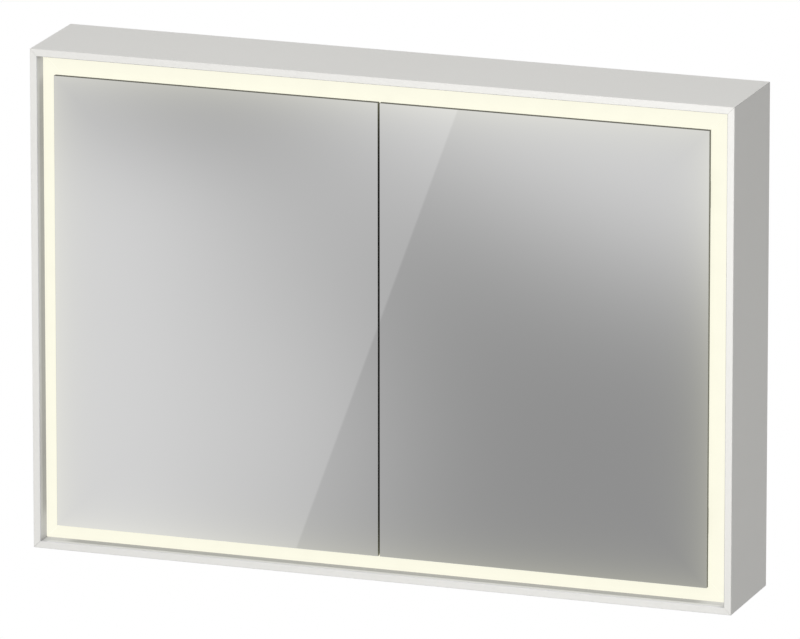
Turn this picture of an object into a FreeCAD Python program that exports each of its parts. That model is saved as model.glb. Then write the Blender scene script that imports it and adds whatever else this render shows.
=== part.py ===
import FreeCAD, Part
import operator
import os
import Sketcher

# Lighted mirror cabinet, in millimetres. X runs across, Y from the front into the wall, Z up.
# The origin is the middle of the back face, which lies on the wall.

SIZES = [
    ("cab_width", 1000, "overall width"),
    ("cab_height", 700, "overall height"),
    ("cab_depth", 154, "overall depth"),
    ("skin", 2, "wall of the casing bars"),
    ("lip_width", 10, "front lip of the casing bars"),
    ("lip_depth", 30, "depth of the hollow behind the lip"),
    ("edge_break", 0.6, "small bevel on the front edges of the lip"),
    ("mitre_gap", 0.3, "hairline left at each mitre"),
    ("rib_width", 14, "rear rib, from the outside of the bar"),
    ("rib_thick", 2, "rear rib"),
    ("back_thick", 4, "back panel"),
    ("fit_gap", 0.2, "play of panels and keys in their seats"),
    ("key_arm", 60, "arm of a corner key"),
    ("light_depth", 23.5, "front plane to the opal strips"),
    ("diffuser_thick", 3, "opal strips"),
    ("tray_depth", 22, "light trays"),
    ("tray_wall", 1.5, "light trays"),
    ("led_width", 10, "LED strip"),
    ("led_thick", 1.2, "LED strip"),
    ("led_end", 45, "outside of the casing to the end of an LED strip"),
    ("chip_long", 3.5, "LED chip"),
    ("chip_wide", 2.8, "LED chip"),
    ("chip_thick", 0.8, "LED chip"),
    ("chips_long_side", 36, "chips on the top and bottom strips"),
    ("chips_short_side", 24, "chips on the left and right strips"),
    ("carcass_margin", 42.5, "outside of the casing to the carcass"),
    ("board", 12, "carcass boards"),
    ("divider", 18, "centre divider"),
    ("door_margin", 34.5, "outside of the casing to the doors"),
    ("door_gap", 2.5, "gap between the doors"),
    ("door_clear", 2.5, "doors to the carcass"),
    ("mirror_front", 4, "front mirror of a door"),
    ("mirror_inner", 3, "inner mirror of a door"),
    ("mirror_back", 4, "mirrored back of a bay"),
    ("pane_play", 0.5, "mirrored backs in their bays"),
    ("glass_bevel", 0.5, "ground edge of the door mirrors"),
    ("bolt_inset_x", 120, "outside of the casing to the wall holes, across"),
    ("bolt_inset_z", 120, "outside of the casing to the wall holes, up"),
    ("bolt_hole_r", 4.5, "wall holes"),
    ("bolt_access_r", 9, "holes in the mirrored backs at the wall holes"),
    ("shelf_thick", 6, "glass shelves"),
    ("shelf_inset", 14, "carcass front to the shelf edge"),
    ("shelf_back", 12, "wall to the shelf edge"),
    ("shelf_play", 1, "shelf ends"),
    ("pin_r", 2.5, "shelf pins"),
    ("pin_depth", 8, "shelf pin in its hole"),
    ("pin_reach", 9, "shelf pin out of the board"),
    ("pin_tab", 4.5, "half width of the flat of a shelf pin"),
    ("pin_step", 32, "rows of shelf holes"),
    ("pin_rows", 15, "rows of shelf holes"),
    ("pin_shelf_row", 3, "rows from the middle to each shelf"),
    ("pin_front", 29.5, "carcass front to the first column of shelf holes"),
    ("pin_rear", 35, "wall to the second column of shelf holes"),
    ("hole_spare", 0.5, "blind holes deeper than what goes in"),
    ("leaf_play", 0.5, "hinge leaves clear of the knuckles"),
    ("run_fit", 0.05, "radial play of a pin in its bore"),
    ("screw_r", 2, "back screws"),
    ("screw_head_r", 3.5, "back screws"),
    ("screw_head", 1.5, "back screws"),
    ("screw_play", 0.3, "clearance holes"),
    ("screw_tip", 2, "back screws past the rib"),
    ("carcass_screw", 23, "length of the screws into the boards"),
    ("screw_spare", 1, "screw holes in the boards deeper than the screws"),
    ("hinge_inset", 90.5, "end of the door to the middle of a hinge"),
    ("hinge_x", 3.5, "carcass side to the hinge axis"),
    ("hinge_y", 12, "front plane to the hinge axis"),
    ("knuckle_r", 3, "hinge knuckles"),
    ("hinge_pin_r", 1.5, "hinge pins"),
    ("hinge_head_r", 2.6, "heads of the hinge pins"),
    ("hinge_head", 1.2, "heads of the hinge pins"),
    ("neck_half", 1.3, "hinge axis to the inner side of the neck of a door leaf"),
    ("knuckle_half", 6, "half length of the door knuckle"),
    ("knuckle_gap", 0.3, "between knuckles"),
    ("knuckle_end", 18, "middle of the hinge to the knuckle end"),
    ("leaf_half", 30, "half height of the hinge leaves"),
    ("leaf_thick", 2, "cabinet leaf"),
    ("leaf_depth", 22, "front plane to the rear of the cabinet leaf"),
    ("door_leaf_thick", 1.5, "door leaf"),
    ("door_leaf_width", 31, "door leaf, from the hinge axis"),
    ("leaf_screw_z", 24.5, "leaf screws above and below the hinge"),
    ("leaf_screw_y", 18.7, "front plane to the leaf screws"),
    ("leaf_screw_r", 1.5, "leaf screws"),
    ("leaf_screw_head_r", 3, "leaf screws"),
    ("leaf_screw_head", 1.6, "leaf screws"),
    ("leaf_screw_in", 10, "leaf screws in the board"),
    ("catch_x", 60, "middle to the magnet catches"),
    ("catch_r", 4, "magnet catches"),
    ("catch_in", 13, "magnet catches in the board"),
    ("catch_out", 1.4, "magnet catches out of the board"),
    ("strike_r", 6, "strike discs"),
    ("strike_thick", 0.8, "strike discs"),
    ("bumper_x", 150, "middle to the bumpers"),
    ("bumper_r", 4, "bumpers"),
    ("bumper_play", 0.3, "bumpers to the doors"),
    ("seal_half", 5, "half width of the gap seal"),
    ("seal_thick", 1.9, "gap seal"),
    ("seal_end", 2, "ends of the doors to the ends of the gap seal"),
    ("driver_x", 150, "middle to the driver"),
    ("driver_long", 180, "LED driver"),
    ("driver_wide", 60, "LED driver"),
    ("driver_high", 30, "LED driver"),
    ("driver_y", 55, "wall to the middle of the driver"),
    ("tab_long", 14, "fixing tabs of the driver"),
    ("tab_thick", 3, "fixing tabs of the driver"),
    ("tab_hole_r", 2.2, "fixing tabs of the driver"),
    ("terminal_x", 35, "middle to the terminal block"),
    ("terminal_long", 50, "terminal block"),
    ("terminal_wide", 36, "terminal block"),
    ("terminal_high", 22, "terminal block"),
    ("terminal_hole_r", 3.5, "wire entries of the terminal block"),
    ("terminal_hole_in", 12, "wire entries of the terminal block"),
    ("terminal_hole_step", 11, "wire entries of the terminal block"),
    ("lead_r", 2.5, "lead from the terminal block to the driver"),
    ("lead_up", 11, "top board to the lead"),
    ("led_lead_r", 2, "lead from the driver to the top strip"),
    ("jumper_r", 1.2, "leads that join the strips at the corners"),
    ("jumper_lift", 0.3, "joining leads above the tray"),
    ("grommet_r", 10, "grommet in the back panel"),
    ("grommet_bore_r", 4.5, "grommet"),
    ("grommet_flange_r", 13, "grommet"),
    ("grommet_flange", 1.5, "grommet"),
    ("grommet_up", 14.5, "top board to the grommet"),
]

# Where the fasteners sit, as parts of the half length of the piece they hold.
BACK_SCREWS = (-0.8, -0.4, 0, 0.4, 0.8)
BOARD_SCREWS = (-0.75, -0.25, 0.25, 0.75)
SIDES = {"left": -1, "right": 1}
ENDS = {"lower": -1, "upper": 1}
# How far a cutting outline runs past the piece it cuts.
CUT_OVER = 1
ARITHMETIC = {"+": operator.add, "-": operator.sub, "*": operator.mul, "/": operator.truediv}


class Size:
    """A value together with the spreadsheet expression that gives it."""

    def __init__(self, value, text):
        self.value = value
        self.text = text

    def __add__(self, other):
        return join(self, "+", other)

    def __radd__(self, other):
        return join(other, "+", self)

    def __sub__(self, other):
        return join(self, "-", other)

    def __rsub__(self, other):
        return join(other, "-", self)

    def __mul__(self, other):
        return join(self, "*", other)

    def __rmul__(self, other):
        return join(other, "*", self)

    def __truediv__(self, other):
        return join(self, "/", other)

    def __neg__(self):
        return join(0, "-", self)


def size(item):
    """A plain number as a Size."""
    return item if isinstance(item, Size) else Size(float(item), f"({item})")


def join(left, sign, right):
    left, right = size(left), size(right)
    return Size(ARITHMETIC[sign](left.value, right.value), f"({left.text} {sign} {right.text})")


def ordered(one, two):
    """The two sizes, the smaller one first."""
    one, two = size(one), size(two)
    return (one, two) if one.value <= two.value else (two, one)


DOC = FreeCAD.newDocument("mirror_cabinet")
SHEET = DOC.addObject("Spreadsheet::Sheet", "Sizes")


class Sheet:
    """The spreadsheet cells, one attribute for each alias."""


S = Sheet()
for row, (alias, number, note) in enumerate(SIZES, start=1):
    SHEET.set(f"A{row}", alias)
    SHEET.set(f"B{row}", str(number))
    SHEET.setAlias(f"B{row}", alias)
    SHEET.set(f"C{row}", note)
    setattr(S, alias, Size(float(number), f"Sizes.{alias}"))
DOC.recompute()

NODES = []


def bind(feature, prop, value):
    feature.setExpression(prop, size(value).text)


def new_body(label, angle=0):
    """An empty body for one node, turned about Y."""
    body = DOC.addObject("PartDesign::Body", label)
    body.AllowCompound = True
    turn = FreeCAD.Rotation(FreeCAD.Vector(0, 1, 0), angle)
    body.Placement = FreeCAD.Placement(FreeCAD.Vector(), turn)
    NODES.append(body)
    return body


def origin_item(body, role):
    return next(item for item in body.Origin.OriginFeatures if item.Role == role)


def new_sketch(body, name, axis, level):
    """A sketch across the axis at the given height along it."""
    role = {"X": "YZ_Plane", "Y": "XZ_Plane", "Z": "XY_Plane"}[axis]
    sketch = body.newObject("Sketcher::SketchObject", f"{body.Label}_{name}_sketch")
    sketch.AttachmentSupport = (origin_item(body, role), "")
    sketch.MapMode = "FlatFace"
    bind(sketch, "AttachmentOffset.Base.z", -size(level) if axis == "Y" else level)
    return sketch


def pin_point(sketch, item, end, point):
    """Hold a point of the sketch at two bound distances from the origin."""
    for kind, value in zip(("DistanceX", "DistanceY"), point):
        index = sketch.addConstraint(Sketcher.Constraint(kind, -1, 1, item, end, value.value))
        bind(sketch, f"Constraints[{index}]", value)


def add_polygon(sketch, points):
    points = [(size(across), size(up)) for across, up in points]
    corners = [FreeCAD.Vector(across.value, up.value, 0) for across, up in points]
    first = sketch.GeometryCount
    for start, end in zip(corners, corners[1:] + corners[:1]):
        sketch.addGeometry(Part.LineSegment(start, end), False)
    for step, point in enumerate(points):
        following = first + (step + 1) % len(points)
        sketch.addConstraint(Sketcher.Constraint("Coincident", first + step, 2, following, 1))
        pin_point(sketch, first + step, 1, point)


def add_circle(sketch, centre, radius):
    centre = (size(centre[0]), size(centre[1]))
    radius = size(radius)
    middle = FreeCAD.Vector(centre[0].value, centre[1].value, 0)
    item = sketch.addGeometry(Part.Circle(middle, FreeCAD.Vector(0, 0, 1), radius.value), False)
    pin_point(sketch, item, 3, centre)
    index = sketch.addConstraint(Sketcher.Constraint("Radius", item, radius.value))
    bind(sketch, f"Constraints[{index}]", radius)


def solid(body, name, axis, start, end, polygons=(), circles=(), cut=False):
    """Pad or pocket the outlines along the axis between two heights."""
    low, high = ordered(start, end)
    downward = (axis == "Y") != cut
    sketch = new_sketch(body, name, axis, high if downward else low)
    for points in polygons:
        add_polygon(sketch, points)
    for centre, radius in circles:
        add_circle(sketch, centre, radius)
    kind = "PartDesign::Pocket" if cut else "PartDesign::Pad"
    feature = body.newObject(kind, f"{body.Label}_{name}")
    feature.Profile = sketch
    bind(feature, "Length", high - low)
    return feature


def rectangle(left, right, low, high):
    return [(left, low), (right, low), (right, high), (left, high)]


def repeat(body, feature, name, role, length, count):
    """Copies of a feature in a row."""
    pattern = body.newObject("PartDesign::LinearPattern", f"{body.Label}_{name}")
    pattern.Originals = [feature]
    pattern.Direction = (origin_item(body, role), [""])
    body.Tip = pattern
    bind(pattern, "Length", length)
    bind(pattern, "Occurrences", count)
    return pattern


# Planes that several pieces share.
FRONT = -S.cab_depth
HALF_W = S.cab_width / 2
HALF_H = S.cab_height / 2
PANEL_IN = -S.back_thick
DOOR_BACK = FRONT + S.mirror_front + S.mirror_inner
CARCASS_FRONT = DOOR_BACK + S.door_clear
CARCASS_X = HALF_W - S.carcass_margin
CARCASS_Z = HALF_H - S.carcass_margin
BAY_X = CARCASS_X - S.board
BAY_Z = CARCASS_Z - S.board
DOOR_X = HALF_W - S.door_margin
DOOR_Z = HALF_H - S.door_margin
DIFFUSER_FRONT = FRONT + S.light_depth
TRAY_FRONT = DIFFUSER_FRONT + S.diffuser_thick
TRAY_BACK = TRAY_FRONT + S.tray_depth
LED_SEAT = TRAY_BACK - S.tray_wall
LED_MIDDLE = (S.lip_width + S.carcass_margin) / 2
RIB_MIDDLE = (S.skin + S.rib_width) / 2
AXIS_X = CARCASS_X + S.hinge_x
AXIS_Y = FRONT + S.hinge_y
HINGE_Z = DOOR_Z - S.hinge_inset

# The four sides: turn about Y, half length of the side, middle of the cabinet to the outside.
RING = {
    "bottom": (0, HALF_W, HALF_H),
    "left": (90, HALF_H, HALF_W),
    "top": (180, HALF_W, HALF_H),
    "right": (-90, HALF_H, HALF_W),
}


def mitred_bar(label, side, sections, reach):
    """A bar with 45 degree ends. Sections are (Y, distance from the outside) outlines."""
    angle, run, offset = RING[side]
    body = new_body(f"{label}_{side}", angle)
    outlines = [[(y, inward - offset) for y, inward in points] for points in sections]
    solid(body, "bar", "X", -run, run, polygons=outlines)
    end = run - S.mitre_gap / 2
    for name, sign in (("mitre_a", -1), ("mitre_b", 1)):
        wedge = [
            (sign * (end + CUT_OVER), -offset - CUT_OVER),
            (sign * (end - reach - CUT_OVER), reach + CUT_OVER - offset),
            (sign * (run + CUT_OVER), reach + CUT_OVER - offset),
            (sign * (run + CUT_OVER), -offset - CUT_OVER),
        ]
        solid(body, name, "Y", FRONT - CUT_OVER, CUT_OVER, polygons=[wedge], cut=True)
    return body


def make_frame_bar(side):
    run, offset = RING[side][1:]
    rib_front = PANEL_IN - S.rib_thick
    lip_back = FRONT + S.lip_depth
    inner = S.lip_width - S.skin
    outline = [
        (FRONT + S.edge_break, 0),
        (0, 0),
        (0, S.skin),
        (PANEL_IN, S.skin),
        (PANEL_IN, S.rib_width),
        (rib_front, S.rib_width),
        (rib_front, S.skin),
        (lip_back, S.skin),
        (lip_back, S.lip_width),
        (FRONT + S.edge_break, S.lip_width),
        (FRONT, S.lip_width - S.edge_break),
        (FRONT, S.edge_break),
    ]
    chamber = rectangle(FRONT + S.skin, lip_back - S.skin, S.skin, inner)
    body = mitred_bar("frame", side, [outline, chamber], S.rib_width)
    holes = [((run * part, RIB_MIDDLE - offset), S.screw_r + S.run_fit) for part in BACK_SCREWS]
    solid(body, "rib_holes", "Y", rib_front, PANEL_IN, circles=holes, cut=True)


def make_corner_keys():
    body = new_body("corner_keys")
    near = S.skin + S.fit_gap
    far = S.lip_width - S.skin - S.fit_gap
    arm = S.key_arm
    elbow = [(near, near), (arm, near), (arm, far), (far, far), (far, arm), (near, arm)]
    keys = []
    for sign_x in SIDES.values():
        for sign_z in ENDS.values():
            keys.append([(sign_x * (HALF_W - across), sign_z * (HALF_H - up)) for across, up in elbow])
    start = FRONT + S.skin + S.fit_gap
    solid(body, "keys", "Y", start, FRONT + S.lip_depth - S.skin - S.fit_gap, polygons=keys)


def back_screw_places():
    """Screws through the back panel into the ribs of the casing."""
    places = []
    for side in SIDES.values():
        places += [(side * (HALF_W - RIB_MIDDLE), HALF_H * part) for part in BACK_SCREWS]
    for end in ENDS.values():
        places += [(HALF_W * part, end * (HALF_H - RIB_MIDDLE)) for part in BACK_SCREWS]
    return places


def side_screw_places(middle):
    return [(middle, BAY_Z * part) for part in BOARD_SCREWS]


def deck_screw_places(middle):
    return [(BAY_X * part, middle) for part in BOARD_SCREWS]


def carcass_screw_places():
    """Screws through the back panel into the rear edges of the boards."""
    places = side_screw_places(size(0))
    for sign in SIDES.values():
        places += side_screw_places(sign * (BAY_X + S.board / 2))
        places += deck_screw_places(sign * (BAY_Z + S.board / 2))
    return places


def bolt_places():
    spans = (HALF_W - S.bolt_inset_x, HALF_H - S.bolt_inset_z)
    return [(x * spans[0], z * spans[1]) for x in SIDES.values() for z in ENDS.values()]


def grommet_place():
    return (-S.terminal_x, CARCASS_Z + S.grommet_up)


def make_back_panel():
    body = new_body("back_panel")
    wide = HALF_W - S.skin - S.fit_gap
    high = HALF_H - S.skin - S.fit_gap
    solid(body, "sheet", "Y", PANEL_IN, 0, polygons=[rectangle(-wide, wide, -high, high)])
    screws = back_screw_places() + carcass_screw_places()
    through = [(place, S.screw_r + S.screw_play) for place in screws]
    through += [(place, S.bolt_hole_r) for place in bolt_places()]
    through.append((grommet_place(), S.grommet_r))
    solid(body, "holes", "Y", PANEL_IN, 0, circles=through, cut=True)
    seats = [(place, S.screw_head_r + S.screw_play) for place in screws]
    solid(body, "head_seats", "Y", -S.screw_head, 0, circles=seats, cut=True)


def make_back_screws(label, places, length):
    body = new_body(label)
    solid(body, "heads", "Y", -S.screw_head, 0, circles=[(place, S.screw_head_r) for place in places])
    solid(body, "shanks", "Y", -length, -S.screw_head, circles=[(place, S.screw_r) for place in places])


def make_light_tray(side):
    near, far = S.lip_width, S.carcass_margin
    outline = [
        (TRAY_FRONT, near),
        (TRAY_BACK, near),
        (TRAY_BACK, far),
        (TRAY_FRONT, far),
        (TRAY_FRONT, far - S.tray_wall),
        (LED_SEAT, far - S.tray_wall),
        (LED_SEAT, near + S.tray_wall),
        (TRAY_FRONT, near + S.tray_wall),
    ]
    body = mitred_bar("light_tray", side, [outline], far)
    if side == "top":
        # The body is turned half round, so the lead is at minus X here.
        hole = [((-S.driver_x, LED_MIDDLE - HALF_H), S.led_lead_r + S.screw_play)]
        solid(body, "lead_hole", "Y", LED_SEAT, TRAY_BACK, circles=hole, cut=True)


def make_diffuser(side):
    near = S.lip_width + S.fit_gap
    far = S.carcass_margin - S.fit_gap
    outline = rectangle(DIFFUSER_FRONT, TRAY_FRONT, near, far)
    mitred_bar("diffuser", side, [outline], far)


def make_led_strip(side):
    angle, run, offset = RING[side]
    body = new_body(f"led_strip_{side}", angle)
    end = run - S.led_end
    middle = LED_MIDDLE - offset
    half = S.led_width / 2
    board_front = LED_SEAT - S.led_thick
    outline = rectangle(-end, end, middle - half, middle + half)
    solid(body, "board", "Y", board_front, LED_SEAT, polygons=[outline])
    start = -end + S.led_width
    chip = rectangle(start, start + S.chip_long, middle - S.chip_wide / 2, middle + S.chip_wide / 2)
    feature = solid(body, "chip", "Y", board_front - S.chip_thick, board_front, polygons=[chip])
    count = S.chips_long_side if side in ("top", "bottom") else S.chips_short_side
    repeat(body, feature, "chips", "X_Axis", end * 2 - S.led_width * 2 - S.chip_long, count)


def make_strip_jumpers():
    """Quarter rings of wire from the end of one strip to the start of the next."""
    bend = S.led_end - LED_MIDDLE
    level = LED_SEAT - S.jumper_r - S.jumper_lift
    rings = []
    for name, sign_x, sign_z, turn in (("a", 1, 1, 0), ("b", 1, -1, 90), ("c", -1, 1, 270)):
        ring = DOC.addObject("Part::Torus", f"jumper_{name}")
        bind(ring, "Radius1", bend)
        bind(ring, "Radius2", S.jumper_r)
        ring.Angle3 = 90
        flat = FreeCAD.Rotation(FreeCAD.Vector(1, 0, 0), 90)
        ring.Placement.Rotation = FreeCAD.Rotation(FreeCAD.Vector(0, 1, 0), turn) * flat
        bind(ring, "Placement.Base.x", sign_x * (HALF_W - S.led_end))
        bind(ring, "Placement.Base.y", level)
        bind(ring, "Placement.Base.z", sign_z * (HALF_H - S.led_end))
        rings.append(ring)
    group = DOC.addObject("Part::Compound", "strip_jumpers")
    group.Links = rings
    NODES.append(group)


def pin_columns():
    return (CARCASS_FRONT + S.pin_front, -S.pin_rear)


def shelf_holes(body, name, start, end):
    """Two columns of shelf holes, one row first and then the rows above it."""
    low = -S.pin_step * (S.pin_rows - 1) / 2
    circles = [((y, low), S.pin_r + S.run_fit) for y in pin_columns()]
    feature = solid(body, name, "X", start, end, circles=circles, cut=True)
    repeat(body, feature, f"{name}_rows", "Z_Axis", S.pin_step * (S.pin_rows - 1), S.pin_rows)


def rear_holes(body, places):
    """Pilot holes for the screws that come through the back panel."""
    circles = [(place, S.screw_r + S.run_fit) for place in places]
    hole_end = -S.carcass_screw - S.screw_spare
    solid(body, "rear_holes", "Y", hole_end, PANEL_IN, circles=circles, cut=True)


def make_carcass_side(side):
    sign = SIDES[side]
    body = new_body(f"carcass_{side}")
    inner, outer = sign * BAY_X, sign * CARCASS_X
    board = rectangle(inner, outer, -CARCASS_Z, CARCASS_Z)
    solid(body, "board", "Y", CARCASS_FRONT, PANEL_IN, polygons=[board])
    rear_holes(body, side_screw_places((inner + outer) / 2))
    pilots = []
    for end in ENDS.values():
        for level in ENDS.values():
            place = (FRONT + S.leaf_screw_y, end * HINGE_Z + level * S.leaf_screw_z)
            pilots.append((place, S.leaf_screw_r + S.run_fit))
    deep = outer - sign * (S.leaf_screw_in - S.leaf_thick + S.hole_spare)
    solid(body, "hinge_holes", "X", deep, outer, circles=pilots, cut=True)
    shelf_holes(body, "shelf_holes", inner, inner + sign * (S.pin_depth + S.hole_spare))


def make_carcass_deck(name, sign):
    body = new_body(f"carcass_{name}")
    inner, outer = ordered(sign * BAY_Z, sign * CARCASS_Z)
    board = rectangle(-BAY_X, BAY_X, inner, outer)
    solid(body, "board", "Y", CARCASS_FRONT, PANEL_IN, polygons=[board])
    middle = (inner + outer) / 2
    rear_holes(body, deck_screw_places(middle))
    bores = [((side * S.catch_x, middle), S.catch_r + S.run_fit) for side in SIDES.values()]
    bore_end = CARCASS_FRONT + S.catch_in + S.hole_spare
    solid(body, "catch_bores", "Y", CARCASS_FRONT, bore_end, circles=bores, cut=True)


def make_divider():
    body = new_body("centre_divider")
    half = S.divider / 2
    board = rectangle(-half, half, -BAY_Z, BAY_Z)
    solid(body, "board", "Y", CARCASS_FRONT, PANEL_IN, polygons=[board])
    rear_holes(body, side_screw_places(size(0)))
    for side, sign in SIDES.items():
        shelf_holes(body, f"{side}_holes", sign * half, sign * (half - S.pin_depth - S.hole_spare))


def make_gap_seal():
    body = new_body("gap_seal")
    end = DOOR_Z - S.seal_end
    strip = rectangle(-S.seal_half, S.seal_half, -end, end)
    solid(body, "strip", "Y", CARCASS_FRONT - S.seal_thick, CARCASS_FRONT, polygons=[strip])


def make_mirror_back(side):
    sign = SIDES[side]
    body = new_body(f"mirror_back_{side}")
    inner = sign * (S.divider / 2 + S.pane_play)
    outer = sign * (BAY_X - S.pane_play)
    high = BAY_Z - S.pane_play
    pane_front = PANEL_IN - S.mirror_back
    solid(body, "pane", "Y", pane_front, PANEL_IN, polygons=[rectangle(inner, outer, -high, high)])
    holes = [(place, S.bolt_access_r) for place in bolt_places() if place[0].value * sign > 0]
    solid(body, "access_holes", "Y", pane_front, PANEL_IN, circles=holes, cut=True)


def shelf_row(end):
    """Middle of the shelf pins of the lower or upper shelf."""
    return ENDS[end] * S.pin_shelf_row * S.pin_step


def make_shelf(side, end):
    sign = SIDES[side]
    body = new_body(f"shelf_{side}_{end}")
    inner = sign * (S.divider / 2 + S.shelf_play)
    outer = sign * (BAY_X - S.shelf_play)
    pane = rectangle(inner, outer, CARCASS_FRONT + S.shelf_inset, -S.shelf_back)
    seat = shelf_row(end) + S.pin_r
    solid(body, "pane", "Z", seat, seat + S.shelf_thick, polygons=[pane])


def make_shelf_pins():
    body = new_body("shelf_pins")
    centres = [(y, shelf_row(end)) for y in pin_columns() for end in ENDS]
    shanks = [(place, S.pin_r) for place in centres]
    flats = []
    for y, z in centres:
        flats.append(rectangle(y - S.pin_tab, y + S.pin_tab, z - S.pin_r, z + S.pin_r))
    for side, sign in SIDES.items():
        for name, face, outward in (("side", sign * BAY_X, -sign), ("divider", sign * S.divider / 2, sign)):
            solid(body, f"{side}_{name}_shanks", "X", face - outward * S.pin_depth, face, circles=shanks)
            solid(body, f"{side}_{name}_flats", "X", face, face + outward * S.pin_reach, polygons=flats)


def make_door_pane(label, side, start, end, bevelled):
    sign = SIDES[side]
    body = new_body(label)
    pane = rectangle(sign * S.door_gap / 2, sign * DOOR_X, -DOOR_Z, DOOR_Z)
    feature = solid(body, "pane", "Y", start, end, polygons=[pane])
    if not bevelled:
        return
    DOC.recompute()
    edges = []
    for index, edge in enumerate(feature.Shape.Edges, start=1):
        if all(abs(vertex.Point.y - start.value) < 1e-6 for vertex in edge.Vertexes):
            edges.append(f"Edge{index}")
    bevel = body.newObject("PartDesign::Chamfer", f"{label}_ground_edge")
    bevel.Base = (feature, edges)
    bind(bevel, "Size", S.glass_bevel)
    body.Tip = bevel


def make_cabinet_leaf(side, end):
    sign, level = SIDES[side], ENDS[end] * HINGE_Z
    body = new_body(f"hinge_{side}_{end}_cabinet_leaf")
    seat = sign * CARCASS_X
    rear = FRONT + S.leaf_depth
    low, high = level - S.leaf_half, level + S.leaf_half
    outer = seat + sign * S.leaf_thick
    root = AXIS_Y + S.knuckle_r + S.leaf_play
    solid(body, "leaf", "X", seat, outer, polygons=[rectangle(root, rear, low, high)])
    axis = (sign * AXIS_X, AXIS_Y)
    near = S.knuckle_half + S.knuckle_gap
    for name, way in ENDS.items():
        ends = (level + way * near, level + way * S.knuckle_end)
        ear = rectangle(CARCASS_FRONT, root, *ends)
        solid(body, f"{name}_ear", "X", seat, outer, polygons=[ear])
        solid(body, f"{name}_knuckle", "Z", *ends, circles=[(axis, S.knuckle_r)])
    bore_ends = (level - S.knuckle_end, level + S.knuckle_end)
    solid(body, "pin_bore", "Z", *bore_ends, circles=[(axis, S.hinge_pin_r + S.run_fit)], cut=True)
    holes = []
    for way in ENDS.values():
        place = (FRONT + S.leaf_screw_y, level + way * S.leaf_screw_z)
        holes.append((place, S.leaf_screw_r + S.screw_play))
    solid(body, "screw_holes", "X", seat, outer, circles=holes, cut=True)


def make_door_leaf(side, end):
    sign, level = SIDES[side], ENDS[end] * HINGE_Z
    body = new_body(f"hinge_{side}_{end}_door_leaf")
    axis = (sign * AXIS_X, AXIS_Y)
    leaf_back = DOOR_BACK + S.door_leaf_thick
    outer = sign * (AXIS_X + S.hinge_pin_r + S.leaf_play)
    inner = sign * (AXIS_X - S.door_leaf_width)
    plate = rectangle(inner, outer, level - S.leaf_half, level + S.leaf_half)
    solid(body, "plate", "Y", DOOR_BACK, leaf_back, polygons=[plate])
    ends = (level - S.knuckle_half, level + S.knuckle_half)
    neck = rectangle(sign * (AXIS_X - S.neck_half), sign * (AXIS_X + S.hinge_pin_r), leaf_back, AXIS_Y)
    solid(body, "neck", "Z", *ends, polygons=[neck])
    solid(body, "knuckle", "Z", *ends, circles=[(axis, S.knuckle_r)])
    solid(body, "pin_bore", "Z", *ends, circles=[(axis, S.hinge_pin_r + S.run_fit)], cut=True)


def make_hinge_pins():
    body = new_body("hinge_pins")
    axes = [(sign * AXIS_X, AXIS_Y) for sign in SIDES.values()]
    for end, sign in ENDS.items():
        level = sign * HINGE_Z
        shank_ends = (level - S.knuckle_end, level + S.knuckle_end)
        solid(body, f"{end}_shanks", "Z", *shank_ends, circles=[(axis, S.hinge_pin_r) for axis in axes])
        for name, way in ENDS.items():
            head_ends = (level + way * S.knuckle_end, level + way * (S.knuckle_end + S.hinge_head))
            heads = [(axis, S.hinge_head_r) for axis in axes]
            solid(body, f"{end}_{name}_heads", "Z", *head_ends, circles=heads)


def make_hinge_screws():
    body = new_body("hinge_screws")
    places = []
    for end in ENDS.values():
        for way in ENDS.values():
            places.append((FRONT + S.leaf_screw_y, end * HINGE_Z + way * S.leaf_screw_z))
    for side, sign in SIDES.items():
        seat = sign * (CARCASS_X + S.leaf_thick)
        tip = seat - sign * S.leaf_screw_in
        top = seat + sign * S.leaf_screw_head
        shanks = [(place, S.leaf_screw_r) for place in places]
        heads = [(place, S.leaf_screw_head_r) for place in places]
        solid(body, f"{side}_shanks", "X", tip, seat, circles=shanks)
        solid(body, f"{side}_heads", "X", seat, top, circles=heads)


def deck_middle(sign):
    return sign * (BAY_Z + S.board / 2)


def four_places(across):
    """One place on the top and bottom board for each door."""
    return [(side * across, deck_middle(end)) for side in SIDES.values() for end in ENDS.values()]


def make_catches():
    body = new_body("catch_magnets")
    start = CARCASS_FRONT - S.catch_out
    circles = [(place, S.catch_r) for place in four_places(S.catch_x)]
    solid(body, "magnets", "Y", start, CARCASS_FRONT + S.catch_in, circles=circles)
    for side, sign in SIDES.items():
        strikes = new_body(f"strike_discs_{side}")
        circles = [((sign * S.catch_x, deck_middle(end)), S.strike_r) for end in ENDS.values()]
        solid(strikes, "discs", "Y", DOOR_BACK, DOOR_BACK + S.strike_thick, circles=circles)


def make_bumpers():
    body = new_body("door_bumpers")
    circles = [(place, S.bumper_r) for place in four_places(S.bumper_x)]
    solid(body, "discs", "Y", DOOR_BACK + S.bumper_play, CARCASS_FRONT, circles=circles)


def make_driver():
    body = new_body("led_driver")
    left = S.driver_x - S.driver_long / 2
    right = S.driver_x + S.driver_long / 2
    front = -S.driver_y - S.driver_wide / 2
    rear = -S.driver_y + S.driver_wide / 2
    case = rectangle(left, right, front, rear)
    solid(body, "case", "Z", CARCASS_Z, CARCASS_Z + S.driver_high, polygons=[case])
    tabs = rectangle(left - S.tab_long, right + S.tab_long, front + S.tab_long, rear - S.tab_long)
    solid(body, "tabs", "Z", CARCASS_Z, CARCASS_Z + S.tab_thick, polygons=[tabs])
    holes = []
    for x in (left - S.tab_long / 2, right + S.tab_long / 2):
        holes.append(((x, -S.driver_y), S.tab_hole_r))
    solid(body, "tab_holes", "Z", CARCASS_Z, CARCASS_Z + S.tab_thick, circles=holes, cut=True)


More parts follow.
